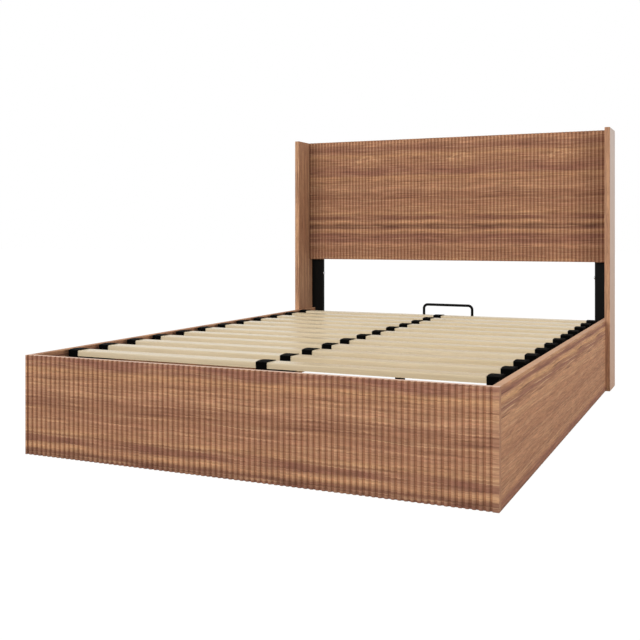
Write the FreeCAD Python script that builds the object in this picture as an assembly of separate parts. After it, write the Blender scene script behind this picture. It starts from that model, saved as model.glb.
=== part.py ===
import FreeCAD, Part
import math
import os

# An ottoman bed: a storage base with a reeded footboard, a winged headboard and a slatted
# steel frame that lifts on arms with gas struts.
# Millimetres; +X to the right seen from the foot, +Y to the head, +Z up; the origin is on the
# floor under the middle of the bed.

# Overall sizes
bed_width = 1420.0              # over the outer faces of the side panels
base_height = 294.0
side_length = 1865.0            # from the footboard's face to the wings' front edges
headboard_height = 1100.0

# Boards of the base and the headboard
side_thickness = 22.0
foot_thickness = 19.0
wing_depth = 165.0
wing_thickness = 22.0
wing_stand_out = 18.0           # wings stand this far outside the side panels
head_panel_thickness = 16.0
head_panel_bottom = 533.0
batten_thickness = 18.0         # battens between the headboard panel and the posts
batten_end_gap = 40.0           # from the battens to the panel's lower edge and the posts' tops
end_panel_thickness = 15.0
end_panel_height = 270.0
board_round = 1.5

# Reeding on the footboard and the headboard panel
reed_depth = 5.0
reed_flank = 1.5                # straight part of a reed's sides
reed_gap = 6.0                  # groove between two reeds
foot_reed_count = 82
foot_margin_left = 6.0          # plain strips outside the outer grooves
foot_margin_right = 16.0
head_reed_count = 86
head_margin = 0.0

# Steel posts and rail behind the headboard panel
post_width = 60.0
post_depth = 17.0
post_top_drop = 60.0            # posts end this far below the headboard's top
post_wall = 1.5
post_corner = 3.0
rail_height = 40.0
rail_middle = 810.0

# Floor of the storage space
bearer_height = 20.0
cleat_width = 20.0
bearer_width = 70.0
bottom_board_thickness = 6.0
bottom_board_count = 3
storage_back_gap = 400.0        # open floor between the boards and the head-end panel
board_gap = 0.5

# Corner angles and bolts
bracket_leg = 40.0
bracket_thickness = 3.0
bracket_height = 110.0
bracket_bottom = 80.0
bolt_radius = 3.0
bolt_head_radius = 7.0
bolt_head_height = 4.0
bolt_head_round = 1.5
bolt_grip = 10.0                # depth of a bolt in its board
bolt_clearance = 0.25
bracket_bolt_share = 0.6        # along each leg of the angle
bracket_bolt_height_shares = (0.2, 0.8)
post_low_bolt = 150.0           # heights of the bolts that hold the posts to the wings
post_middle_bolt = 464.0
post_top_bolt_drop = 140.0      # highest bolt below the post's top

# Slats and their end caps
slat_pitch = 150.0
slat_width = 55.0
slat_thickness = 17.0
slat_edge_round = 4.0
slat_drop = 1.0                 # slat tops lie this far below the footboard's top
first_slat = 154.0              # from the footboard's face to the first slat's front
slat_back_gap = 60.0            # least room from the last slat to the rear tube
cap_reach = 34.0
cap_wall = 2.0
cap_floor = 4.0
cap_web = 4.0                   # wall between the two pockets of a middle cap
cap_shoulder_rise = 1.2         # cap edges above the slats
cap_crown_rise = 3.5            # cap crowns above the slats
cap_clearance = 0.2

# Steel lift frame
frame_side_gap = 13.0           # from the side panels to the frame
frame_front = 45.0              # from the footboard's face to the front tube
frame_back_gap = 45.0           # from the rear tube to the back of the bed
tube_size = 30.0
tube_wall = 1.5
tube_corner = 2.5
plug_flange = 2.0
plug_insert = 10.0
plug_clearance = 0.1

# Mattress stop bar on the rear tube
stop_bar_radius = 6.0
stop_bar_span = 228.0           # between the centrelines of its legs
stop_bar_rise = 57.0            # from the rear tube's top to the bar's centreline
stop_bar_bend = 18.0

# Supports that the closed frame rests on
pad_height = 5.0
pad_radius = 7.0
pad_margin = 2.0
pad_place_shares = (-0.7, -0.24, 0.24, 0.7)
ledge_height = 32.0
ledge_end_gap = 8.0
leg_size = 32.0
leg_wall = 2.0
leg_from_foot = 1315.0

# Lift arms: pivots in side view, as runs towards the head and heights above the storage floor
lift_pivot_from_back = 260.0    # rear arm's pivot on the frame, from the back of the bed
lift_pivot_drop = 24.0          # that pivot below the side tubes
rear_arm_run = 215.0
rear_arm_base = 68.0
coupler_run = 56.0              # front arm's pivot on the frame, ahead of the rear arm's
coupler_rise = 7.0
front_arm_run = 266.0
front_arm_base = 78.5
front_slot_run = -1.46          # slotted eye of the front arm
front_slot_rise = 4.18
arm_half_width = 12.0
arm_thickness = 5.0
plate_thickness = 4.0
plate_margin = 27.0
plate_corner = 12.0
plate_bolt_inset = 12.0
plate_low_bolt_shares = (0.04, 0.28, 0.5, 0.72, 0.9)
plate_high_bolt_shares = (0.72, 0.9)
hanger_thickness = 4.0
hanger_margin = 24.0
hanger_depth = 40.0             # from the side tube down to the hanger's lower edge
hanger_corner = 14.0
pin_radius = 5.0
pin_head_radius = 9.0
pin_head_height = 3.0
pin_clearance = 0.05
pin_play = 0.2
arm_gap = 1.0                   # between the lift plate and the arms
slot_clearance = 0.8

# Gas struts
strut_reach = 100.0             # along the front arm, from its base pivot to the strut's stud
strut_run = 311.0               # from that stud back to the stud on the lift plate
strut_base = 46.0               # height of the plate's stud above the storage floor
strut_inset = 30.0              # strut's axis inboard of the side panel
strut_slot_along = -3.37        # slotted eye at the rod's end
strut_slot_across = -6.69
cylinder_radius = 11.0
cylinder_length = 225.0
cylinder_wall = 1.5
cylinder_end = 6.0
gland_length = 10.0
rod_radius = 5.0
piston_length = 14.0
piston_from_eye = 45.0
eye_width = 12.0
eye_wall = 5.0
eye_neck = 16.0                 # from an eye's centre to the end of its neck
eye_neck_radius = 6.0
stud_radius = 4.0
stud_stem_radius = 6.0
stud_head_radius = 8.0
slot_head_radius = 13.0         # wide head that covers the slotted eye

# Length by which cutting shapes pass the faces that they cut
overrun = 2.0

# An edge runs along an axis when this share of its length does
straight_share = 0.99

# Derived places
overall_length = side_length + wing_depth
foot_y = -overall_length / 2
back_y = overall_length / 2
foot_inner_y = foot_y + foot_thickness
wing_front_y = foot_y + side_length
post_y = back_y - post_depth
post_height = headboard_height - post_top_drop
head_back_y = post_y - batten_thickness
head_face_y = head_back_y - head_panel_thickness
end_panel_y = post_y - end_panel_thickness
side_face = bed_width / 2
side_inner = side_face - side_thickness
wing_outer = side_face + wing_stand_out
wing_inner = wing_outer - wing_thickness
post_inner = wing_inner - post_width
slat_top = base_height - slat_drop
slat_bottom = slat_top - slat_thickness
tube_top = slat_bottom - cap_floor
tube_bottom = tube_top - tube_size
frame_outer = side_inner - frame_side_gap
frame_inner = frame_outer - tube_size
frame_front_y = foot_y + frame_front
frame_back_y = back_y - frame_back_gap
first_slat_y = foot_y + first_slat
last_slat_y = frame_back_y - tube_size - slat_back_gap - slat_width
slat_rows = int((last_slat_y - first_slat_y) // slat_pitch) + 1
storage_back_y = end_panel_y - storage_back_gap
board_top = bearer_height + bottom_board_thickness
plate_face = side_inner - plate_thickness
arm_outer = plate_face - arm_gap
arm_inner = arm_outer - arm_thickness
hanger_outer = frame_outer
hanger_inner = hanger_outer - hanger_thickness
strut_x = side_inner - strut_inset

# Pivots as (y, z)
frame_rear_pivot = (back_y - lift_pivot_from_back, tube_bottom - lift_pivot_drop)
frame_front_pivot = (frame_rear_pivot[0] - coupler_run, frame_rear_pivot[1] + coupler_rise)
base_rear_pivot = (frame_rear_pivot[0] - rear_arm_run, board_top + rear_arm_base)
base_front_pivot = (frame_front_pivot[0] - front_arm_run, board_top + front_arm_base)
front_arm_rise = frame_front_pivot[1] - base_front_pivot[1]
front_slot_end = (frame_front_pivot[0] + front_slot_run, frame_front_pivot[1] + front_slot_rise)
front_slot_middle = (
    frame_front_pivot[0] + front_slot_run / 2,
    frame_front_pivot[1] + front_slot_rise / 2,
)
front_arm_length = math.hypot(front_arm_run, front_arm_rise)
strut_top = (
    base_front_pivot[0] + strut_reach * front_arm_run / front_arm_length,
    base_front_pivot[1] + strut_reach * front_arm_rise / front_arm_length,
)
strut_foot = (strut_top[0] + strut_run, board_top + strut_base)
strut_drop = strut_top[1] - strut_foot[1]
strut_length = math.hypot(strut_run, strut_drop)
strut_angle = math.degrees(math.atan2(strut_drop, -strut_run))


def vector(x, y, z):
    return FreeCAD.Vector(x, y, z)


X_WAY = vector(1, 0, 0)
Y_WAY = vector(0, 1, 0)
Z_WAY = vector(0, 0, 1)


# Shape helpers

def block(x0, x1, y0, y1, z0, z1):
    return Part.makeBox(x1 - x0, y1 - y0, z1 - z0, vector(x0, y0, z0))


def mirrored(shape):
    return shape.mirror(vector(0, 0, 0), X_WAY)


def both_sides(shapes):
    return shapes + [mirrored(shape) for shape in shapes]


def runs_along(edge, way):
    step = edge.Vertexes[-1].Point - edge.Vertexes[0].Point
    return abs(step.dot(way)) > straight_share * edge.Length


def edge_middle(edge):
    return (edge.Vertexes[0].Point + edge.Vertexes[-1].Point) * 0.5


def rounded(shape, radius, chosen):
    return shape.makeFillet(radius, [edge for edge in shape.Edges if chosen(edge)])


def tube(low, high, way, wall, corner):
    """Hollow square tube from one corner to the other, open at both ends."""
    outer = rounded(block(low[0], high[0], low[1], high[1], low[2], high[2]), corner,
                    lambda edge: runs_along(edge, way))
    inside = []
    for axis in range(3):
        along = abs(way[axis]) > 0
        inset = -overrun if along else wall
        inside += [low[axis] + inset, high[axis] - inset]
    return outer.cut(block(*inside))


def rod_along_x(point, radius, x0, x1):
    """Round bar from x0 inwards or outwards to x1, centred on (y, z)."""
    start = min(x0, x1)
    return Part.makeCylinder(radius, abs(x1 - x0), vector(start, point[0], point[1]), X_WAY)


def turned(point, start, steps):
    """Stepped pin along X: each step is (end, radius)."""
    x = start
    pieces = []
    for end, radius in steps:
        pieces.append(rod_along_x(point, radius, x, end))
        x = end
    return pieces[0].fuse(pieces[1:]).removeSplitter()


def stadium(first, second, radius, x0, x1):
    """Plate with two round ends, centred on two points (y, z)."""
    run = vector(0, second[0] - first[0], second[1] - first[1])
    run.normalize()
    side = X_WAY.cross(run)
    start = vector(x0, first[0], first[1])
    end = vector(x0, second[0], second[1])
    corners = [start + side * radius, end + side * radius, end - side * radius, start - side * radius]
    edges = [
        Part.LineSegment(corners[0], corners[1]).toShape(),
        Part.Arc(corners[1], end + run * radius, corners[2]).toShape(),
        Part.LineSegment(corners[2], corners[3]).toShape(),
        Part.Arc(corners[3], start - run * radius, corners[0]).toShape(),
    ]
    return Part.Face(Part.Wire(edges)).extrude(vector(x1 - x0, 0, 0))


def reeded_board(left, right, margin_left, margin_right, count, crest_y, flat_y, bottom, top):
    """Upright board with rounded reeds between grooves along its front face, flat behind."""
    groove_y = crest_y + reed_depth
    shoulder_y = groove_y - reed_flank
    first = left + margin_left
    last = right - margin_right
    pitch = (last - first - reed_gap) / count
    edges = []
    place = vector(left, flat_y, bottom)

    def line_to(x, y):
        nonlocal place
        corner = vector(x, y, bottom)
        edges.append(Part.LineSegment(place, corner).toShape())
        place = corner

    if margin_left > 0:
        line_to(left, crest_y)
        line_to(first, crest_y)
    line_to(first, groove_y)
    for number in range(count):
        start = first + reed_gap + number * pitch
        end = first + (number + 1) * pitch
        line_to(start, groove_y)
        line_to(start, shoulder_y)
        crest = vector((start + end) / 2, crest_y, bottom)
        shoulder = vector(end, shoulder_y, bottom)
        edges.append(Part.Arc(place, crest, shoulder).toShape())
        place = shoulder
        line_to(end, groove_y)
    line_to(last, groove_y)
    if margin_right > 0:
        line_to(last, crest_y)
        line_to(right, crest_y)
    line_to(right, flat_y)
    line_to(left, flat_y)
    return Part.Face(Part.Wire(edges)).extrude(vector(0, 0, top - bottom))


# Bolts: each seat is (point under the head, direction into the joint, reach)

def bolt(seat):
    point, inward, reach = seat
    head = Part.makeCylinder(bolt_head_radius, bolt_head_height, point, inward * -1)
    crown = head.BoundBox.Center + (inward * -1) * (bolt_head_height / 2)
    head = rounded(head, bolt_head_round, lambda edge: is_ring_at(edge, crown))
    return head.fuse(Part.makeCylinder(bolt_radius, reach, point, inward))


def is_ring_at(edge, centre):
    return hasattr(edge.Curve, "Center") and (edge.Curve.Center - centre).Length < bolt_clearance


def bolt_hole(seat):
    point, inward, reach = seat
    return Part.makeCylinder(bolt_radius + bolt_clearance, reach + bolt_clearance, point, inward)


def corner_bolt_seats():
    seats = []
    reach = bracket_thickness + bolt_grip
    for side in (-1, 1):
        for face_y, into in ((foot_inner_y, 1), (end_panel_y, -1)):
            for share in bracket_bolt_height_shares:
                z = bracket_bottom + share * bracket_height
                offset = bracket_bolt_share * bracket_leg
                on_side = vector(side * (side_inner - bracket_thickness), face_y + into * offset, z)
                on_face = vector(side * (side_inner - offset), face_y + into * bracket_thickness, z)
                seats.append((on_side, X_WAY * side, reach))
                seats.append((on_face, Y_WAY * -into, reach))
    return seats


def post_bolt_seats():
    reach = post_width + bolt_grip
    middle = (post_y + back_y) / 2
    heights = (post_low_bolt, post_middle_bolt, post_height - post_top_bolt_drop)
    return [(vector(side * post_inner, middle, z), X_WAY * side, reach)
            for side in (-1, 1) for z in heights]


def plate_box():
    ys = (base_front_pivot[0], strut_foot[0])
    zs = (base_front_pivot[1], base_rear_pivot[1], strut_foot[1])
    return (min(ys) - plate_margin, max(ys) + plate_margin, min(zs) - plate_margin, max(zs) + plate_margin)


def plate_bolt_seats():
    y0, y1, z0, z1 = plate_box()
    places = [(share, z0 + plate_bolt_inset) for share in plate_low_bolt_shares]
    places += [(share, z1 - plate_bolt_inset) for share in plate_high_bolt_shares]
    reach = plate_thickness + bolt_grip
    return [(vector(side * plate_face, y0 + share * (y1 - y0), z), X_WAY * side, reach)
            for side in (-1, 1) for share, z in places]


def drilled(shape):
    seats = corner_bolt_seats() + post_bolt_seats() + plate_bolt_seats()
    return shape.cut([bolt_hole(seat) for seat in seats])


# Base and headboard

def footboard():
    board = reeded_board(-side_face, side_face, foot_margin_left, foot_margin_right, foot_reed_count,
                         foot_y, foot_inner_y, 0, base_height)
    return drilled(board)


def side_panel():
    board = block(side_inner, side_face, foot_inner_y, post_y, 0, base_height)
    board = rounded(board, board_round,
                    lambda edge: runs_along(edge, Y_WAY) and edge_middle(edge).z > base_height / 2)
    rebate = block(wing_inner, side_face + overrun, wing_front_y, post_y + overrun,
                   -overrun, base_height + overrun)
    return drilled(board.cut(rebate))


def headboard_wing():
    board = block(wing_inner, wing_outer, wing_front_y, back_y, 0, headboard_height)
    middle_y = (wing_front_y + back_y) / 2

    def front_or_top(edge):
        if runs_along(edge, Z_WAY):
            return edge_middle(edge).y < middle_y
        return runs_along(edge, Y_WAY) and edge_middle(edge).z > base_height

    return drilled(rounded(board, board_round, front_or_top))


def headboard_panel():
    """Reeded board, and the two battens behind it that meet the posts."""
    board = reeded_board(-wing_inner, wing_inner, head_margin, head_margin, head_reed_count,
                         head_face_y, head_back_y, head_panel_bottom, headboard_height)
    batten = block(post_inner, wing_inner, head_back_y, post_y,
                   head_panel_bottom + batten_end_gap, post_height - batten_end_gap)
    return [board] + both_sides([batten])


def headboard_post():
    outer = rounded(block(post_inner, wing_inner, post_y, back_y, 0, post_height), post_corner,
                    lambda edge: runs_along(edge, Z_WAY))
    inside = block(post_inner + post_wall, wing_inner - post_wall, post_y + post_wall, back_y - post_wall,
                   -overrun, post_height - post_wall)
    return drilled(outer.cut(inside))


def headboard_rail():
    half = rail_height / 2
    return tube((-post_inner, post_y, rail_middle - half), (post_inner, back_y, rail_middle + half),
                X_WAY, post_wall, post_corner)


def head_end_panel():
    return drilled(block(-side_inner, side_inner, end_panel_y, post_y, 0, end_panel_height))


def corner_brackets():
    angles = []
    for side in (-1, 1):
        for face_y, into in ((foot_inner_y, 1), (end_panel_y, -1)):
            xs = sorted((side * side_inner, side * (side_inner - bracket_thickness)))
            long_xs = sorted((side * side_inner, side * (side_inner - bracket_leg)))
            ys = sorted((face_y, face_y + into * bracket_leg))
            thin_ys = sorted((face_y, face_y + into * bracket_thickness))
            zs = (bracket_bottom, bracket_bottom + bracket_height)
            leg = block(*xs, *ys, *zs)
            angles.append(drilled(leg.fuse(block(*long_xs, *thin_ys, *zs)).removeSplitter()))
    return angles


# Floor of the storage space

def bottom_board_span():
    return (storage_back_y - foot_inner_y) / bottom_board_count


def bottom_board(number):
    half_width = plate_face - arm_gap
    start = foot_inner_y + number * bottom_board_span()
    return block(-half_width, half_width, start + board_gap, start + bottom_board_span() - board_gap,
                 bearer_height, board_top)


def bottom_bearers():
    cleat_inner = side_inner - cleat_width
    pieces = both_sides([block(cleat_inner, side_inner, foot_inner_y, end_panel_y, 0, bearer_height)])
    middles = [foot_inner_y + number * bottom_board_span() for number in range(1, bottom_board_count)]
    middles.append(storage_back_y - bearer_width / 2)
    for middle in middles:
        pieces.append(block(-cleat_inner, cleat_inner, middle - bearer_width / 2, middle + bearer_width / 2,
                            0, bearer_height))
    return pieces


# Supports of the closed frame

def pad_seat():
    return tube_bottom - pad_height


def foot_ledge():
    half = side_inner - bracket_leg - ledge_end_gap
    back = frame_front_y + 2 * (pad_radius + pad_margin)
    return block(-half, half, foot_inner_y, back, pad_seat() - ledge_height, pad_seat())


def centre_leg():
    half = leg_size / 2
    y = foot_y + leg_from_foot
    return tube((-half, y - half, board_top), (half, y + half, pad_seat()), Z_WAY, leg_wall, tube_corner)


def rest_pads():
    y = frame_front_y + pad_margin + pad_radius
    pads = [Part.makeCylinder(pad_radius, pad_height, vector(share * frame_inner, y, pad_seat()), Z_WAY)
            for share in pad_place_shares]
    half = leg_size / 2
    leg_y = foot_y + leg_from_foot
    cap = block(-half, half, leg_y - half, leg_y + half, pad_seat(), tube_bottom)
    pads.append(rounded(cap, tube_corner, lambda edge: runs_along(edge, Z_WAY)))
    return pads


# Lift plates, arms and pins; each is made for the right side

def lift_plate():
    y0, y1, z0, z1 = plate_box()
    plate = rounded(block(plate_face, side_inner, y0, y1, z0, z1), plate_corner,
                    lambda edge: runs_along(edge, X_WAY))
    holes = [rod_along_x(pivot, pin_radius, plate_face - overrun, side_inner + overrun)
             for pivot in (base_rear_pivot, base_front_pivot)]
    holes.append(rod_along_x(strut_foot, stud_stem_radius, plate_face - overrun, side_inner + overrun))
    return drilled(plate.cut(holes))


def base_pivot_pin(pivot):
    head = arm_inner - pin_play
    return turned(pivot, side_inner, [
        (plate_face, pin_radius),
        (arm_outer + pin_play, pin_head_radius),
        (head, pin_radius),
        (head - pin_head_height, pin_head_radius),
    ])


def strut_stud_steps(head_radius):
    shoulder = strut_x + eye_width / 2 + pin_play
    neck = strut_x - eye_width / 2 - pin_play
    return [(shoulder, stud_stem_radius), (neck, stud_radius), (neck - pin_head_height, head_radius)]


def base_pivot_pins():
    pins = [base_pivot_pin(base_rear_pivot), base_pivot_pin(base_front_pivot)]
    pins.append(turned(strut_foot, side_inner, strut_stud_steps(stud_head_radius)))
    return both_sides(pins)


def bore_through_arm(pivot, radius):
    return rod_along_x(pivot, radius, arm_inner - overrun, arm_outer + overrun)


def rear_arm():
    arm = stadium(base_rear_pivot, frame_rear_pivot, arm_half_width, arm_inner, arm_outer)
    bore = pin_radius + pin_clearance
    return arm.cut([bore_through_arm(base_rear_pivot, bore), bore_through_arm(frame_rear_pivot, bore)])


def front_arm():
    arm = stadium(base_front_pivot, front_slot_middle, arm_half_width, arm_inner, arm_outer)
    slot = stadium(frame_front_pivot, front_slot_end, pin_radius + slot_clearance,
                   arm_inner - overrun, arm_outer + overrun)
    return arm.cut([bore_through_arm(base_front_pivot, pin_radius + pin_clearance),
                    bore_through_arm(strut_top, stud_stem_radius), slot])


def front_arm_studs():
    return both_sides([turned(strut_top, arm_outer, strut_stud_steps(slot_head_radius))])


def frame_hanger():
    """Angle under the side tube that carries the upper pivots of the arms."""
    y0 = frame_front_pivot[0] - hanger_margin
    y1 = frame_rear_pivot[0] + hanger_margin
    cheek = block(hanger_inner, hanger_outer, y0, y1, tube_bottom - hanger_depth, tube_bottom)
    middle_z = tube_bottom - hanger_depth / 2
    cheek = rounded(cheek, hanger_corner,
                    lambda edge: runs_along(edge, X_WAY) and edge_middle(edge).z < middle_z)
    shelf = block(frame_inner, hanger_outer, y0, y1, tube_bottom - hanger_thickness, tube_bottom)
    holes = [rod_along_x(pivot, pin_radius, hanger_inner - overrun, hanger_outer + overrun)
             for pivot in (frame_rear_pivot, frame_front_pivot)]
    return cheek.fuse(shelf).removeSplitter().cut(holes)


def frame_pivot_pin(pivot):
    head = hanger_inner - pin_head_height
    outer = arm_outer + pin_play
    return turned(pivot, head, [
        (hanger_inner, pin_head_radius),
        (hanger_outer, pin_radius),
        (arm_inner - pin_play, pin_head_radius),
        (outer, pin_radius),
        (outer + pin_head_height - arm_gap, pin_head_radius),
    ])


def frame_pivot_pins():
    return both_sides([frame_pivot_pin(frame_rear_pivot), frame_pivot_pin(frame_front_pivot)])


# Gas struts, made along +Y from the foot eye's centre and then turned into place

def strut_placed(shape):
    shape.rotate(vector(0, 0, 0), X_WAY, strut_angle)
    shape.translate(vector(strut_x, strut_foot[0], strut_foot[1]))
    return shape


def bar_along_y(radius, start, end):
    return Part.makeCylinder(radius, end - start, vector(0, start, 0), Y_WAY)


def gas_cylinder():
    mouth = eye_neck + cylinder_length
    body = bar_along_y(cylinder_radius, eye_neck, mouth)
    body = rounded(body, cylinder_wall,
                   lambda edge: hasattr(edge.Curve, "Center") and edge.Curve.Center.y < mouth)
    chamber = bar_along_y(cylinder_radius - cylinder_wall, eye_neck + cylinder_end, mouth - gland_length)
    gland_bore = bar_along_y(rod_radius + pin_clearance, eye_neck + cylinder_end, mouth + overrun)
    return strut_placed(body.cut([chamber, gland_bore]))


def gas_rod():
    rod = bar_along_y(rod_radius, piston_from_eye, strut_length - eye_neck)
    piston = bar_along_y(cylinder_radius - cylinder_wall - pin_clearance, piston_from_eye,
                         piston_from_eye + piston_length)
    return strut_placed(rod.fuse(piston).removeSplitter())


def strut_lower_eye():
    half = eye_width / 2
    ring = rod_along_x((0, 0), stud_radius + eye_wall, -half, half)
    neck = bar_along_y(eye_neck_radius, 0, eye_neck)
    bore = rod_along_x((0, 0), stud_radius + pin_clearance, -half - overrun, half + overrun)
    return strut_placed(ring.fuse(neck).removeSplitter().cut(bore))


def strut_upper_eye():
    half = eye_width / 2
    centre = (strut_length, 0)
    slot_end = (strut_length + strut_slot_along, strut_slot_across)
    ring = stadium(centre, slot_end, stud_radius + slot_clearance + eye_wall, -half, half)
    neck = bar_along_y(eye_neck_radius, strut_length - eye_neck, strut_length)
    slot = stadium(centre, slot_end, stud_radius + slot_clearance, -half - overrun, half + overrun)
    return strut_placed(ring.fuse(neck).removeSplitter().cut(slot))


# Lift frame, slats and caps

def side_tube():
    return tube((frame_inner, frame_front_y, tube_bottom), (frame_outer, frame_back_y, tube_top),
                Y_WAY, tube_wall, tube_corner)


def cross_tube(front):
    return tube((-frame_inner, front, tube_bottom), (frame_inner, front + tube_size, tube_top),
                X_WAY, tube_wall, tube_corner)


def centre_beam():
    half = tube_size / 2
    return tube((-half, frame_front_y + tube_size, tube_bottom), (half, frame_back_y - tube_size, tube_top),
                Y_WAY, tube_wall, tube_corner)


def tube_end_plugs():
    plugs = []
    inset = tube_wall + plug_clearance
    for end, out in ((frame_front_y, -1), (frame_back_y, 1)):
        flange_ys = sorted((end, end + out * plug_flange))
        insert_ys = sorted((end, end - out * plug_insert))
        flange = rounded(block(frame_inner, frame_outer, *flange_ys, tube_bottom, tube_top), tube_corner,
                         lambda edge: runs_along(edge, Y_WAY))
        insert = block(frame_inner + inset, frame_outer - inset, *insert_ys,
                       tube_bottom + inset, tube_top - inset)
        plugs.append(flange.fuse(insert))
    return both_sides(plugs)


def mattress_stop_bar():
    half = stop_bar_span / 2
    y = frame_back_y - tube_size / 2
    top = tube_top + stop_bar_rise
    bend = stop_bar_bend
    diagonal = bend * math.sqrt(0.5)
    left = [vector(-half, y, tube_top), vector(-half, y, top - bend),
            vector(-half + bend - diagonal, y, top - bend + diagonal), vector(-half + bend, y, top)]
    right = [vector(-point.x, y, point.z) for point in reversed(left)]
    edges = [
        Part.LineSegment(left[0], left[1]).toShape(),
        Part.Arc(left[1], left[2], left[3]).toShape(),
        Part.LineSegment(left[3], right[0]).toShape(),
        Part.Arc(right[0], right[1], right[2]).toShape(),
        Part.LineSegment(right[2], right[3]).toShape(),
    ]
    section = Part.Wire(Part.makeCircle(stop_bar_radius, left[0], Z_WAY))
    return Part.Wire(edges).makePipeShell([section], True, False)


def slat_front(row):
    return first_slat_y + row * slat_pitch


def slat(row):
    """Right-hand slat of a row, from the middle cap's pocket to the side cap's pocket."""
    start = cap_web / 2 + cap_clearance
    end = frame_outer - cap_wall - cap_clearance
    bar = block(start, end, slat_front(row), slat_front(row) + slat_width, slat_bottom, slat_top)
    return rounded(bar, slat_edge_round,
                   lambda edge: runs_along(edge, X_WAY) and edge_middle(edge).z > slat_bottom)


def slat_row(row):
    return both_sides([slat(row)])


def cap_body(row, x0, x1):
    """Domed cap round the slat ends of a row, before its pockets are cut."""
    y0 = slat_front(row) - cap_clearance - cap_wall
    y1 = slat_front(row) + slat_width + cap_clearance + cap_wall
    shoulder = slat_top + cap_shoulder_rise
    corners = [vector(x0, y0, tube_top), vector(x0, y1, tube_top),
               vector(x0, y1, shoulder), vector(x0, y0, shoulder)]
    crown = vector(x0, (y0 + y1) / 2, slat_top + cap_crown_rise)
    edges = [
        Part.LineSegment(corners[3], corners[0]).toShape(),
        Part.LineSegment(corners[0], corners[1]).toShape(),
        Part.LineSegment(corners[1], corners[2]).toShape(),
        Part.Arc(corners[2], crown, corners[3]).toShape(),
    ]
    return Part.Face(Part.Wire(edges)).extrude(vector(x1 - x0, 0, 0))


def pocket(row, x0, x1):
    return block(x0, x1, slat_front(row) - cap_clearance, slat_front(row) + slat_width + cap_clearance,
                 slat_bottom, slat_top + cap_clearance)


def side_cap(row):
    inner = frame_outer - cap_reach
    return cap_body(row, inner, frame_outer).cut(pocket(row, inner - overrun, frame_outer - cap_wall))


def middle_cap(row):
    half = cap_reach / 2
    right_pocket = pocket(row, cap_web / 2, half + overrun)
    return cap_body(row, -half, half).cut([right_pocket, mirrored(right_pocket)])


def all_nodes():
    """Every node's solids by name."""
    rows = range(slat_rows)
    nodes = {
        "footboard": [footboard()],
        "headboard_panel": headboard_panel(),
        "headboard_rail": [headboard_rail()],
        "head_end_panel": [head_end_panel()],
        "bottom_bearers": bottom_bearers(),
        "corner_brackets": corner_brackets(),
        "corner_bolts": [bolt(seat) for seat in corner_bolt_seats()],
        "post_bolts": [bolt(seat) for seat in post_bolt_seats()],
        "lift_plate_bolts": [bolt(seat) for seat in plate_bolt_seats()],
        "foot_ledge": [foot_ledge()],
        "centre_leg": [centre_leg()],
        "rest_pads": rest_pads(),
        "base_pivot_pins": base_pivot_pins(),
        "front_arm_studs": front_arm_studs(),
        "strut_lower_eyes": both_sides([strut_lower_eye()]),
        "strut_upper_eyes": both_sides([strut_upper_eye()]),
        "frame_pivot_pins": frame_pivot_pins(),
        "frame_front_tube": [cross_tube(frame_front_y)],
        "frame_rear_tube": [cross_tube(frame_back_y - tube_size)],
        "frame_centre_beam": [centre_beam()],
        "tube_end_plugs": tube_end_plugs(),
        "mattress_stop_bar": [mattress_stop_bar()],
        "right_slat_caps": [side_cap(row) for row in rows],
        "left_slat_caps": [mirrored(side_cap(row)) for row in rows],
        "middle_slat_caps": [middle_cap(row) for row in rows],
    }
    paired = {
        "side_panel": side_panel(),
        "headboard_wing": headboard_wing(),
        "headboard_post": headboard_post(),
        "lift_plate": lift_plate(),
        "rear_arm": rear_arm(),
        "front_arm": front_arm(),
        "gas_cylinder": gas_cylinder(),
        "gas_rod": gas_rod(),
        "frame_side_tube": side_tube(),
        "frame_hanger": frame_hanger(),
    }
    for name, shape in paired.items():
        nodes["right_" + name] = [shape]
        nodes["left_" + name] = [mirrored(shape)]
    for number, name in enumerate(("front", "middle", "rear")):
        nodes[name + "_bottom_board"] = [bottom_board(number)]
    for row in rows:
        nodes["slat_row_%02d" % (row + 1)] = slat_row(row)
    return nodes


def write_parts():
    os.makedirs("parts", exist_ok=True)
    for name, solids in all_nodes().items():
        shape = solids[0] if len(solids) == 1 else Part.makeCompound(solids)
        shape.exportStep(os.path.join("parts", name + ".step"))


write_parts()
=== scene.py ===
import math

import bpy
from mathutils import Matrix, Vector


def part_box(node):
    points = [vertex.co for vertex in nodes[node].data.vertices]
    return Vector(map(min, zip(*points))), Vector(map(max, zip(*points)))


# An ottoman bed in walnut-look laminate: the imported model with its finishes, light and camera.
# Metres; +X to the right seen from the foot, +Y to the head, +Z up, the floor at zero.

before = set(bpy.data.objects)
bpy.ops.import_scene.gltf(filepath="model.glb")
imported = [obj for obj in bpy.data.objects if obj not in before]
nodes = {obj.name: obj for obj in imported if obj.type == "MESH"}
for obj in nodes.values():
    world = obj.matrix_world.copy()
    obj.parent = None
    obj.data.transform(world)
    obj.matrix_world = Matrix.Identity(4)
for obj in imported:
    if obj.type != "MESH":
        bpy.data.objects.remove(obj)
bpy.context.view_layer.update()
X_AXIS, Y_AXIS, Z_AXIS = 0, 1, 2

# Places of a Mix node's sockets for colours, among those for its other kinds of value
MIX_SHARE = 0
MIX_FIRST_COLOUR = 6
MIX_SECOND_COLOUR = 7
MIX_RESULT_COLOUR = 2

# Camera
camera_place = (1.2238, -3.1601, 0.6492)
camera_turn = math.radians(24.41)
camera_level = math.radians(90.0)
camera_lens_mm = 52.17
camera_sensor_mm = 36.0
camera_shift_share = -0.1324

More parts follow.
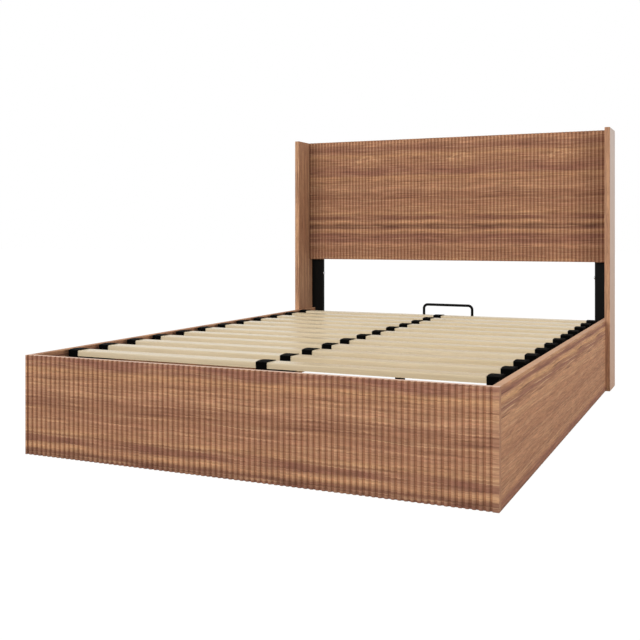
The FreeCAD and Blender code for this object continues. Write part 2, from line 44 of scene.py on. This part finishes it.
# Stage and light
floor_size = 60.0
floor_drop = 0.0005
floor_colour = (0.60, 0.60, 0.60, 1.0)
floor_glow_share = 0.93         # of what the camera sees of the floor that is plain white
floor_glow = 1.06
dome_left = 1.7                 # strength of the sky's light from the left, the middle and the right
dome_middle = 0.98
dome_right = 0.35
white = (1.0, 1.0, 1.0, 1.0)
key_place = (-1.5, -16.0, 4.5)
key_size = 4.0
key_power = 710.0
fill_place = (9.0, 0.4, 2.2)
fill_size = 3.0
fill_power = 190.0
light_aim = (0.0, 0.0, 0.3)

# Tones of the walnut laminate, as 8-bit screen colours
straw = (232, 190, 146)
honey = (216, 173, 130)
gold = (200, 156, 114)
tan = (187, 143, 111)
brown = (172, 128, 99)
russet = (160, 117, 91)
plum = (140, 96, 82)
bark = (129, 86, 73)
umber = (104, 68, 58)
line_tone = (106, 66, 54)
# Painted shade in the reeds' grooves
groove_shade_tint = (233, 221, 214)
edge_tone = (190, 154, 128)
# Painted highlight along the footboard's top face
edge_highlight_tone = (222, 192, 174)
# Painted reflection: the wings' outer faces are painted paler, more so towards the top
wing_glare_low = (199, 169, 149)
wing_glare_high = (214, 205, 198)

# Other tones
slat_pale = (213, 197, 168)
slat_deep = (205, 186, 151)
board_pale = (246, 244, 240)
board_grey = (236, 233, 228)
pine_pale = (222, 190, 142)
pine_deep = (190, 148, 98)
steel_black = (14, 14, 13)
plastic_black = (5, 5, 5)
rubber_black = (20, 20, 20)
chrome_tone = (222, 222, 224)
zinc_tone = (190, 191, 194)

# Wood sheet: a printed figure whose bands lie along the grain
sheet_repeat = 0.455            # the figure comes again after this length
sheet_low_place = -0.380        # one of the places along a board where the bands are lowest
sheet_sag = 0.001               # once in each repeat they sink and rise by this much
sheet_wander = 0.0016
sheet_ripple = 0.0008
band_noise_limits = (0.36, 0.60)
band_shares = (0.55, 0.95)      # strength of the bands at those limits of its noise
reed_band_share = 0.82          # of that strength on the reeded boards
foot_lift = 0.1486              # the footboard's lower edge on the sheet, above the headboard's
foot_stretch_share = 0.95       # of the sheet's height to the footboard's
plain_tint_shares = (1.0, 1.0, 1.0)     # of the bands' red, green and blue that a board shows
head_tint_shares = (1.06, 1.06, 1.06)
side_tint_shares = (1.045, 0.99, 0.925)

# Curls of the reeded boards' figure, and the bands that fade below them
curl_place = 0.037              # one of the places with a small curly figure
curl_height = 0.477
curl_reach = 0.024
curl_core_share = 0.5           # of that reach, where the curls are full
curl_cosines = (0.1, 0.8)       # of the way round a repeat, where the curls start and are full
curl_swing = 0.002
fade_height = 0.195
fade_reach = 0.032
fade_core_share = 0.7
fade_cosines = (-0.3, 0.9)
fade_share = 0.6                # of the bands' strength that is lost

# Streaks and lines, which can be quieter below one height on the sheet than above it
quiet_height = 0.215
quiet_reach = 0.04
reed_figure_shares = (0.72, 0.72)       # their strength below and above
side_figure_shares = (0.45, 1.15)
wing_figure_shares = (1.0, 1.0)

# Reeds, edges and ends
reed_depth = 0.005
groove_shade_shares = (0.3, 0.9)      # of the reeds' depth, where the grooves' painted shade starts and is full
edge_turns = (0.8, 0.9)         # how squarely a face looks along an axis, from none to all of its edge tone
edge_figure_share = 0.3         # of the grain that shows through the edge tone
head_end_shade_reaches = (0.09, 0.17)         # painted shade: from its left and right ends, where the headboard is painted darker beside the wings
head_end_shade_share = 0.70     # of its lightness elsewhere, at the very ends of that painted shade

# Noises: cells each way, a shift of its own, detail and roughness.
# Those down to the dark lines run round one repeat of the sheet, so their first two counts are on its circle.
noise_low, noise_high = 0.3, 0.7        # most of a noise lies between these
wander_noise = ((0.2, 0.2, 14.0), 0.0, 2.0, 0.5)
ripple_noise = ((0.7, 0.7, 40.0), 3.1, 2.0, 0.5)
curl_noise = ((2.4, 2.4, 120.0), 9.4, 2.0, 0.5)
band_noise = ((0.25, 0.25, 22.0), 7.7, 2.0, 0.5)
bar_noise = ((0.05, 0.05, 95.0), 6.1, 1.0, 0.5)
streak_noise = ((0.25, 0.25, 85.0), 1.3, 1.0, 0.5)
fleck_noise = ((0.9, 0.9, 190.0), 2.3, 1.0, 0.5)
light_line_noise = ((0.26, 0.26, 170.0), 4.7, 1.0, 0.5)
dark_line_noise = ((0.26, 0.26, 190.0), 8.9, 1.0, 0.5)
fibre_noise = ((18.0, 330.0, 4.0), 2.9, 3.0, 0.65)
pore_noise = ((46.0, 900.0, 20.0), 5.3, 1.0, 0.5)
timber_figure_noise = ((1.1, 34.0, 20.0), 0.0, 3.0, 0.55)
timber_fibre_noise = ((7.0, 380.0, 240.0), 2.2, 3.0, 0.6)
cloud_noise = ((14.0, 14.0, 14.0), 4.1, 3.0, 0.5)
brush_noise = ((20.0, 1400.0, 1400.0), 1.9, 2.0, 0.5)
skin_shift = 0.7
skin_detail = 2.0
skin_roughness = 0.5

# Places in the noises: the reeded boards share one, because they show the same figure
reed_shift = 11.0
right_side_shift = 31.0
left_side_shift = 37.0
right_wing_shift = 41.0
left_wing_shift = 43.0
head_end_shift = 47.0
slat_shift = 3.7                # from one slat row to the next
bottom_shift = 9.1
softwood_shift = 5.9

# Shares of lightness between which a noise varies a colour
bar_shares = (0.92, 1.08)
fleck_shares = (0.89, 1.11)
fibre_shares = (0.78, 1.22)
timber_fibre_shares = (0.94, 1.06)
brush_shares = (0.92, 1.06)

# Marks of the grain: the noise where one starts and is full, its strength there and its tone
pale_streak = (0.52, 0.75, 0.45, gold)
deep_streak = (0.48, 0.25, 0.35, plum)
light_line = (0.58, 0.70, 0.42, straw)
dark_line = (0.58, 0.70, 0.60, line_tone)
curl_mark = (0.50, 0.66, 0.50, straw)
pore_mark = (0.60, 0.70, 0.50, line_tone)

# Surfaces: roughness, gloss, and the height and strength of the bump
laminate_roughness = (0.76, 0.86)
laminate_gloss = 0.14
laminate_bump = (0.0004, 0.35)
timber_bump = (0.0003, 0.3)
brush_bump = (0.00005, 0.2)
skin_bump_share = 0.5
roughness_swing = 0.06          # up and down from a finish's own roughness
brush_swing = 0.05
slat_roughness = 0.3
slat_gloss = 0.2
slat_face_shade_share = 0.94          # painted shade: of a slat's lightness on its level faces
slat_edge_light_share = 1.13          # painted light: and on its edges
face_turns = (0.1, 0.5)         # how nearly level a face is, from an edge to a face
bottom_roughness = 0.5
softwood_roughness = 0.6
timber_gloss = 0.3
chrome_roughness = 0.14

# Coatings: tone, roughness, cells of the skin per metre, their height, gloss, metal and speckle
plastic_coating = (plastic_black, 0.75, 900.0, 0.0002, 0.03, 0.0, 0.12)
rubber_coating = (rubber_black, 0.75, 500.0, 0.0003, 0.2, 0.0, 0.12)
powder_coating = (steel_black, 0.5, 1300.0, 0.00015, 0.06, 0.0, 0.12)
zinc_coating = (zinc_tone, 0.36, 300.0, 0.00008, 0.5, 1.0, 0.2)

# Bands of the figure: heights from the lower edge of the sheet, and their tones
sheet_bands = (
    (0.000, brown), (0.055, russet), (0.073, tan), (0.084, plum), (0.120, plum), (0.129, brown),
    (0.138, gold), (0.144, tan), (0.149, umber), (0.168, umber), (0.176, gold), (0.181, honey),
    (0.185, gold), (0.190, bark), (0.209, bark), (0.222, gold), (0.233, brown), (0.275, russet),
    (0.312, russet), (0.337, tan), (0.351, brown), (0.372, brown), (0.391, gold), (0.405, plum),
    (0.435, plum), (0.455, brown), (0.480, brown), (0.490, gold), (0.506, russet), (0.533, plum),
    (0.551, tan), (0.567, brown),
)
side_bands = (
    (0.000, umber), (0.009, plum), (0.018, plum), (0.025, brown), (0.034, tan), (0.050, russet),
    (0.068, brown), (0.093, tan), (0.109, brown), (0.122, russet), (0.141, brown), (0.176, brown),
    (0.203, tan), (0.218, tan), (0.228, russet), (0.238, plum), (0.250, russet), (0.260, gold),
    (0.269, tan), (0.278, plum), (0.285, russet), (0.294, tan),
)
wing_bands = (
    (0.000, tan), (0.034, brown), (0.063, tan), (0.093, brown), (0.115, tan), (0.150, brown),
    (0.187, russet),
)

# Sheets: bands, height of the board's lower edge, stretch, tint, and strength of streaks and lines
foot_sheet = (sheet_bands, foot_lift, foot_stretch_share, plain_tint_shares, reed_figure_shares)
head_sheet = (sheet_bands, 0.0, 1.0, head_tint_shares, reed_figure_shares)
side_sheet = (side_bands, 0.0, 1.0, side_tint_shares, side_figure_shares)
wing_sheet = (wing_bands, 0.0, 1.0, plain_tint_shares, wing_figure_shares)

# Edges: tones from one end of the board to the other, and the axis and way that each side looks
plain_edge = (edge_tone, edge_tone)
dull_edge = (brown, brown)
# painted highlight
highlight_edge = (edge_highlight_tone, edge_highlight_tone)
# painted reflection
wing_glare = (wing_glare_low, wing_glare_high)
board_sides = {"up": (Z_AXIS, 1), "right": (X_AXIS, 1), "left": (X_AXIS, -1)}


def linear(tone):
    """Linear colour of an 8-bit screen colour."""
    channels = []
    for value in tone:
        share = value / 255
        channels.append(share / 12.92 if share <= 0.04045 else ((share + 0.055) / 1.055) ** 2.4)
    return (*channels, 1.0)


def third_axis(first, second):
    """The axis that is neither of two."""
    return X_AXIS + Y_AXIS + Z_AXIS - first - second


class Shading:
    """Adds and joins the shader nodes of one tree."""

    def __init__(self, tree):
        self.tree = tree

    def add(self, kind, **settings):
        node = self.tree.nodes.new("ShaderNode" + kind)
        for key, value in settings.items():
            setattr(node, key, value)
        return node

    def feed(self, socket, value):
        """Joins an output to a socket, or sets the socket's own value."""
        if isinstance(value, bpy.types.NodeSocket):
            self.tree.links.new(value, socket)
        else:
            socket.default_value = value

    def feed_all(self, node, *values):
        """Feeds a node's first sockets in turn."""
        for socket, value in zip(node.inputs, values):
            self.feed(socket, value)
        return node

    def split(self, output):
        """The three numbers of a texture coordinate."""
        coordinates = self.add("TexCoord")
        return self.feed_all(self.add("SeparateXYZ"), coordinates.outputs[output]).outputs

    def math(self, operation, *values):
        return self.feed_all(self.add("Math", operation=operation), *values).outputs[0]

    def spread(self, value, low, high, to_low, to_high):
        """Takes a value from between two limits to between two others, and holds it there."""
        return self.feed_all(self.add("MapRange"), value, low, high, to_low, to_high).outputs[0]

    def show(self, lit, seen, share, output):
        """Lights the object with one shader and shows the eye another, by a share."""
        mix = self.feed_all(self.add("MixShader"), share, lit.outputs[0], seen.outputs[0])
        self.feed(self.add(output).inputs["Surface"], mix.outputs[0])


class Finish(Shading):
    """The shader nodes of one material."""

    def __init__(self, name):
        self.material = bpy.data.materials.new(name)
        self.material.use_nodes = True
        super().__init__(self.material.node_tree)
        self.shader = self.tree.nodes["Principled BSDF"]

    def set(self, **values):
        """Sets sockets of the shader by name, with an underscore for each space."""
        for key, value in values.items():
            self.feed(self.shader.inputs[key.replace("_", " ")], value)

    def point(self, *values):
        return self.feed_all(self.add("CombineXYZ"), *values).outputs[0]

    def noise(self, point, kind, shift=0.0):
        """Noise between 0 and 1 of one of the kinds above."""
        cells, own_shift, detail, roughness = kind
        place = shift + own_shift
        mapping = self.add("Mapping")
        self.feed(mapping.inputs["Vector"], point)
        mapping.inputs["Scale"].default_value = cells
        mapping.inputs["Location"].default_value = (place, place, place)
        node = self.add("TexNoise")
        self.feed(node.inputs["Vector"], mapping.outputs[0])
        node.inputs["Scale"].default_value = 1.0
        node.inputs["Detail"].default_value = detail
        node.inputs["Roughness"].default_value = roughness
        return node.outputs[0]

    def vary(self, noise, low, high):
        """Takes the middle of a noise, where most of it lies, to between two values."""
        return self.spread(noise, noise_low, noise_high, low, high)

    def ramp(self, value, stops):
        node = self.feed_all(self.add("ValToRGB"), value)
        elements = node.color_ramp.elements
        while len(elements) < len(stops):
            elements.new(1.0)
        for element, (place, tone) in zip(elements, stops):
            element.position = place
            element.color = linear(tone)
        return node.outputs[0]

    def mix(self, share, first, second, way="MIX"):
        node = self.add("Mix", data_type="RGBA", blend_type=way)
        self.feed(node.inputs[MIX_SHARE], share)
        self.feed(node.inputs[MIX_FIRST_COLOUR], first)
        self.feed(node.inputs[MIX_SECOND_COLOUR], second)
        return node.outputs[MIX_RESULT_COLOUR]

    def shade(self, colour, value):
        """A colour made lighter or darker by a plain number."""
        node = self.add("VectorMath", operation="SCALE")
        self.feed(node.inputs[0], colour)
        self.feed(node.inputs["Scale"], value)
        return node.outputs[0]

    def bump(self, height, distance, strength):
        node = self.add("Bump")
        node.inputs["Distance"].default_value = distance
        node.inputs["Strength"].default_value = strength
        self.feed(node.inputs["Height"], height)
        self.set(Normal=node.outputs[0])


class Laminate(Finish):
    """A board's sheet, with its grain along one axis and its bands across others.
    Heights on the sheet are measured from the low corner of the board's box."""

    def __init__(self, node, along, across, sheet, shift, reeded):
        super().__init__(node + "_laminate")
        self.bands, lift, stretch, self.tint_shares, figure_shares = sheet
        self.low, self.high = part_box(node)
        self.along = along
        self.shift = shift
        self.reeded = reeded
        self.place = self.split("Object")
        self.way = self.place[along]
        self.height = lift
        for axis in across:
            rise = self.math("MULTIPLY", self.math("SUBTRACT", self.place[axis], self.low[axis]), stretch)
            self.height = self.math("ADD", self.height, rise)
        self.bold = self.spread(self.height, quiet_height - quiet_reach, quiet_height, *figure_shares)
        self.ring = self.round_trip(sheet_low_place)
        self.sheet_point = self.point(*self.ring, self.height)
        if reeded:
            self.find_curls()
        self.warped = self.math("ADD", self.height, self.wave())
        fine_point = self.point(self.way, self.warped, self.place[third_axis(along, across[0])])
        self.fibres = self.noise(fine_point, fibre_noise, shift)
        start, full, strength, self.pore_tone = pore_mark
        self.pores = self.spread(self.noise(fine_point, pore_noise, shift), start, full, 0.0, strength)

    def round_trip(self, start):
        """Cosine and sine of the way along one repeat of the sheet."""
        angle = self.math("MULTIPLY", self.math("SUBTRACT", self.way, start), 2 * math.pi / sheet_repeat)
        return self.math("COSINE", angle), self.math("SINE", angle)

    def close_to(self, height, reach, core_share):
        """One near a height on the sheet, and zero from the reach on."""
        away = self.math("ABSOLUTE", self.math("SUBTRACT", self.height, height))
        return self.spread(away, core_share * reach, reach, 1.0, 0.0)

    def find_curls(self):
        self.curl_cosine = self.round_trip(curl_place)[0]
        self.curls = self.noise(self.sheet_point, curl_noise, self.shift)
        near = self.spread(self.curl_cosine, *curl_cosines, 0.0, 1.0)
        self.near_curls = self.math("MULTIPLY", near, self.close_to(curl_height, curl_reach, curl_core_share))

    def wave(self):
        """How far the bands rise and sink."""
        slow = self.noise(self.sheet_point, wander_noise, self.shift)
        quick = self.noise(self.sheet_point, ripple_noise, self.shift)
        wave = self.math("ADD", self.vary(slow, -sheet_wander, sheet_wander),
                         self.vary(quick, -sheet_ripple, sheet_ripple))
        wave = self.math("ADD", wave, self.math("MULTIPLY", self.ring[0], sheet_sag))
        if self.reeded:
            swing = self.vary(self.curls, -curl_swing, curl_swing)
            wave = self.math("ADD", wave, self.math("MULTIPLY", self.near_curls, swing))
        return wave

    def band_strength(self):
        strength = self.noise(self.sheet_point, band_noise, self.shift)
        if not self.reeded:
            return self.spread(strength, *band_noise_limits, *band_shares)
        reed_shares = [share * reed_band_share for share in band_shares]
        strength = self.spread(strength, *band_noise_limits, *reed_shares)
        below_curls = self.spread(self.curl_cosine, *fade_cosines, 0.0, fade_share)
        fading = self.math("MULTIPLY", self.close_to(fade_height, fade_reach, fade_core_share), below_curls)
        return self.math("MULTIPLY", strength, self.math("SUBTRACT", 1.0, fading))

    def banded(self):
        """The colour of the sheet's bands."""
        first, last = self.bands[0][0], self.bands[-1][0]
        level = self.spread(self.warped, first, last, 0.0, 1.0)
        stops = [((height - first) / (last - first), tone) for height, tone in self.bands]
        return self.mix(self.band_strength(), linear(brown), self.ramp(level, stops))

    def marked(self, colour, noise, mark, boldness):
        """Lays a mark's tone over a colour."""
        start, full, strength, tone = mark
        share = self.spread(noise, start, full, 0.0, self.math("MULTIPLY", boldness, strength))
        return self.mix(share, colour, linear(tone))

    def grained(self, colour):
        """Adds the bars, streaks, flecks and lines that follow the bands, and then fibres and pores."""
        point = self.point(*self.ring, self.warped)
        colour = self.shade(colour, self.vary(self.noise(point, bar_noise, self.shift), *bar_shares))
        colour = self.mix(1.0, colour, (*self.tint_shares, 1.0), "MULTIPLY")
        streaks = self.noise(point, streak_noise, self.shift)
        colour = self.marked(colour, streaks, pale_streak, self.bold)
        colour = self.marked(colour, streaks, deep_streak, self.bold)
        colour = self.shade(colour, self.vary(self.noise(point, fleck_noise, self.shift), *fleck_shares))
        colour = self.marked(colour, self.noise(point, light_line_noise, self.shift), light_line, self.bold)
        colour = self.marked(colour, self.noise(point, dark_line_noise, self.shift), dark_line, self.bold)
        if self.reeded:
            colour = self.marked(colour, self.curls, curl_mark, self.near_curls)
        colour = self.shade(colour, self.vary(self.fibres, *fibre_shares))
        return self.mix(self.pores, colour, linear(self.pore_tone))

    def shaded_in_grooves(self, colour):
        """Painted shade: darkens the grooves, which lie behind the front of the box."""
        start, full = [self.low[Y_AXIS] + share * reed_depth for share in groove_shade_shares]
        depth = self.spread(self.place[Y_AXIS], start, full, 0.0, 1.0)
        return self.mix(depth, colour, linear(groove_shade_tint), "MULTIPLY")

    def edged(self, colour, edges):
        """Gives the faces on the named sides their own tones, from one end of the grain to the other. Some of
        these tones are painted highlight and painted reflection.
        """
        facing = self.split("Normal")
        reach = self.spread(self.way, self.low[self.along], self.high[self.along], 0.0, 1.0)
        for side, (start, end) in edges.items():
            axis, sign = board_sides[side]
            turns = [sign * turn for turn in edge_turns]
            strip = self.mix(edge_figure_share, self.mix(reach, linear(start), linear(end)), colour)
            colour = self.mix(self.spread(facing[axis], *turns, 0.0, 1.0), colour, strip)
        return colour

    def shaded_at_ends(self, colour, reaches):
        """Painted shade: darkens the colour towards the low and high ends."""
        spans = ((self.way, self.low[self.along]), (self.high[self.along], self.way))
        for reach, span in zip(reaches, spans):
            away = self.math("SUBTRACT", *span)
            colour = self.shade(colour, self.spread(away, 0.0, reach, head_end_shade_share, 1.0))
        return colour


def dress(material, *names):
    for name in names:
        slots = nodes[name].data.materials
        slots.clear()
        slots.append(material)


def dress_board(node, along, across, sheet, shift, reeded=False, end_shade_reaches=(), **edges):
    """Gives a board its own laminate; an edge is named by its side, such as up or right."""
    board = Laminate(node, along, across, sheet, shift, reeded)
    colour = board.grained(board.banded())
    if reeded:
        # painted shade in the grooves
        colour = board.shaded_in_grooves(colour)
    # the ends can get painted shade here
    colour = board.shaded_at_ends(board.edged(colour, edges), end_shade_reaches)
    board.set(Base_Color=colour, Roughness=board.vary(board.fibres, *laminate_roughness))
    board.set(Specular_IOR_Level=laminate_gloss)
    board.bump(board.math("SUBTRACT", board.fibres, board.pores), *laminate_bump)
    dress(board.material, node)


def timber(name, pale, deep, across, shift, roughness, gloss, face_shade_share=1.0, edge_light_share=1.0):
    """Planed wood with fine grain along X. Its level faces can get painted shade and its edges painted light.
    """
    finish = Finish(name)
    place = finish.split("Object")
    point = finish.point(place[X_AXIS], place[across], place[third_axis(X_AXIS, across)])
    figure = finish.noise(point, timber_figure_noise, shift)
    fibres = finish.noise(point, timber_fibre_noise, shift)
    colour = finish.mix(finish.vary(figure, 0.0, 1.0), linear(pale), linear(deep))
    colour = finish.shade(colour, finish.vary(fibres, *timber_fibre_shares))
    level = finish.math("ABSOLUTE", finish.split("Normal")[Z_AXIS])
    # Painted light and shade: level faces darker, edges lighter
    colour = finish.shade(colour, finish.spread(level, *face_turns, edge_light_share, face_shade_share))
    rough = finish.vary(fibres, roughness - roughness_swing, roughness + roughness_swing)
    finish.set(Base_Color=colour, Roughness=rough, Specular_IOR_Level=gloss)
    finish.bump(fibres, *timber_bump)
    return finish.material


def coated(name, coating):
    """Moulded plastic, rubber, plate or powder coat: one tone with a fine pebbled skin."""
    tone, roughness, cells, depth, gloss, metal, speckle = coating
    finish = Finish(name)
    point = finish.add("TexCoord").outputs["Object"]
    skin = finish.noise(point, ((cells, cells, cells), skin_shift, skin_detail, skin_roughness))
    cloud = finish.noise(point, cloud_noise)
    half = speckle / 2
    tint = finish.math("ADD", finish.vary(skin, -half, half), finish.vary(cloud, 1.0 - half, 1.0 + half))
    rough = finish.vary(cloud, roughness - roughness_swing, roughness + roughness_swing)
    finish.set(Base_Color=finish.shade(linear(tone)[:3], tint), Roughness=rough)
    finish.set(Metallic=metal, Specular_IOR_Level=gloss)
    finish.bump(skin, depth, skin_bump_share)
    return finish.material


def brushed(name, tone, roughness):
    """Bare metal with fine marks along Y."""
    finish = Finish(name)
    place = finish.split("Object")
    marks = finish.noise(finish.point(place[Y_AXIS], place[X_AXIS], place[Z_AXIS]), brush_noise)
    rough = finish.vary(marks, roughness - brush_swing, roughness + brush_swing)
    finish.set(Base_Color=finish.shade(linear(tone)[:3], finish.vary(marks, *brush_shares)))
    finish.set(Roughness=rough, Metallic=1.0)
    finish.bump(marks, *brush_bump)
    return finish.material


# Boards
upright = (Z_AXIS,)
round_corner = (Y_AXIS, X_AXIS)
# The footboard's top face gets a painted highlight.
dress_board("footboard", X_AXIS, upright, foot_sheet, reed_shift, True,
            up=highlight_edge, right=dull_edge, left=dull_edge)
# Painted shade: the headboard is painted darker towards both ends, beside the wings.
dress_board("headboard_panel", X_AXIS, upright, head_sheet, reed_shift, True, head_end_shade_reaches, up=plain_edge)
dress_board("right_side_panel", Y_AXIS, upright, side_sheet, right_side_shift, up=plain_edge)
dress_board("left_side_panel", Y_AXIS, upright, side_sheet, left_side_shift, up=dull_edge)
# The wings' outer faces get a painted reflection, paler towards the top.
dress_board("right_headboard_wing", Z_AXIS, round_corner, wing_sheet, right_wing_shift,
            up=plain_edge, right=wing_glare)
dress_board("left_headboard_wing", Z_AXIS, round_corner, wing_sheet, left_wing_shift,
            up=plain_edge, left=wing_glare)
dress_board("head_end_panel", X_AXIS, upright, side_sheet, head_end_shift, up=plain_edge)

# Slats, bottom and bearers
slat_names = sorted(name for name in nodes if name.startswith("slat_row_"))
# The slats get painted shade on their level faces and painted light on their edges.
for number, name in enumerate(slat_names):
    dress(timber(name + "_timber", slat_pale, slat_deep, Y_AXIS, slat_shift * number,
                 slat_roughness, slat_gloss, slat_face_shade_share, slat_edge_light_share), name)
bottom_face = timber("bottom_board_face", board_pale, board_grey, Y_AXIS, bottom_shift,
                     bottom_roughness, timber_gloss)
dress(bottom_face, "front_bottom_board", "middle_bottom_board", "rear_bottom_board")
softwood = timber("planed_softwood", pine_pale, pine_deep, Z_AXIS, softwood_shift,
                  softwood_roughness, timber_gloss)
dress(softwood, "bottom_bearers", "foot_ledge")

# Plastic, rubber and metal
dress(coated("moulded_black_plastic", plastic_coating),
      "left_slat_caps", "middle_slat_caps", "right_slat_caps", "tube_end_plugs")
dress(coated("black_rubber", rubber_coating), "rest_pads")
dress(coated("black_powder_coat", powder_coating),
      "left_headboard_post", "right_headboard_post", "headboard_rail", "centre_leg",
      "left_lift_plate", "right_lift_plate", "left_rear_arm", "right_rear_arm",
      "left_front_arm", "right_front_arm", "left_gas_cylinder", "right_gas_cylinder",
      "left_frame_side_tube", "right_frame_side_tube", "frame_front_tube", "frame_rear_tube",
      "frame_centre_beam", "left_frame_hanger", "right_frame_hanger", "mattress_stop_bar")
dress(brushed("hard_chrome", chrome_tone, chrome_roughness), "left_gas_rod", "right_gas_rod")
dress(coated("zinc_plate", zinc_coating),
      "corner_brackets", "corner_bolts", "post_bolts", "lift_plate_bolts", "base_pivot_pins",
      "frame_pivot_pins", "front_arm_studs", "strut_lower_eyes", "strut_upper_eyes")


def camera_sees(shading):
    """One for rays from the camera, mirrors and glass, and zero for the light between surfaces."""
    path = shading.add("LightPath")
    seen = path.outputs["Is Camera Ray"]
    for kind in ("Is Glossy Ray", "Is Transmission Ray"):
        seen = shading.math("MAXIMUM", seen, path.outputs[kind])
    return seen


def place_object(name, data):
    thing = bpy.data.objects.new(name, data)
    bpy.context.scene.collection.objects.link(thing)
    return thing


def make_floor():
    half = floor_size / 2
    corners = [(x, y, -floor_drop) for x, y in ((-half, -half), (half, -half), (half, half), (-half, half))]
    mesh = bpy.data.meshes.new("floor")
    mesh.from_pydata(corners, [], [(0, 1, 2, 3)])
    material = bpy.data.materials.new("floor_white")
    material.use_nodes = True
    material.node_tree.nodes.clear()
    shading = Shading(material.node_tree)
    lit = shading.feed_all(shading.add("BsdfDiffuse"), floor_colour)
    glow = shading.feed_all(shading.add("Emission"), white, floor_glow)
    share = shading.math("MULTIPLY", camera_sees(shading), floor_glow_share)
    shading.show(lit, glow, share, "OutputMaterial")
    mesh.materials.append(material)
    place_object("floor", mesh)


def make_world():
    """A soft sky that is stronger on the left, and plain white to the camera."""
    world = bpy.data.worlds.new("studio")
    bpy.context.scene.world = world
    world.use_nodes = True
    world.node_tree.nodes.clear()
    shading = Shading(world.node_tree)
    side = shading.split("Generated")[X_AXIS]
    left = shading.spread(side, -1.0, 0.0, dome_left, dome_middle)
    right = shading.spread(side, 0.0, 1.0, 0.0, dome_right - dome_middle)
    soft = shading.feed_all(shading.add("Background"), white, shading.math("ADD", left, right))
    plain = shading.feed_all(shading.add("Background"), white, 1.0)
    shading.show(soft, plain, camera_sees(shading), "OutputWorld")


def make_light(name, place, size, power):
    data = bpy.data.lights.new(name, "AREA")
    data.size = size
    data.energy = power
    light = place_object(name, data)
    light.location = place
    aim = [goal - start for goal, start in zip(light_aim, place)]
    flat = math.hypot(aim[X_AXIS], aim[Y_AXIS])
    light.rotation_euler = (math.atan2(flat, -aim[Z_AXIS]), 0.0, math.atan2(-aim[X_AXIS], aim[Y_AXIS]))


def make_camera():
    data = bpy.data.cameras.new("camera")
    data.lens = camera_lens_mm
    data.sensor_width = camera_sensor_mm
    data.sensor_fit = "HORIZONTAL"
    data.shift_y = camera_shift_share
    camera = place_object("camera", data)
    camera.location = camera_place
    camera.rotation_euler = (camera_level, 0.0, camera_turn)
    bpy.context.scene.camera = camera


# Stage
make_floor()
make_world()
make_light("key", key_place, key_size, key_power)
make_light("fill", fill_place, fill_size, fill_power)
make_camera()
bpy.context.scene.view_settings.view_transform = "Standard"
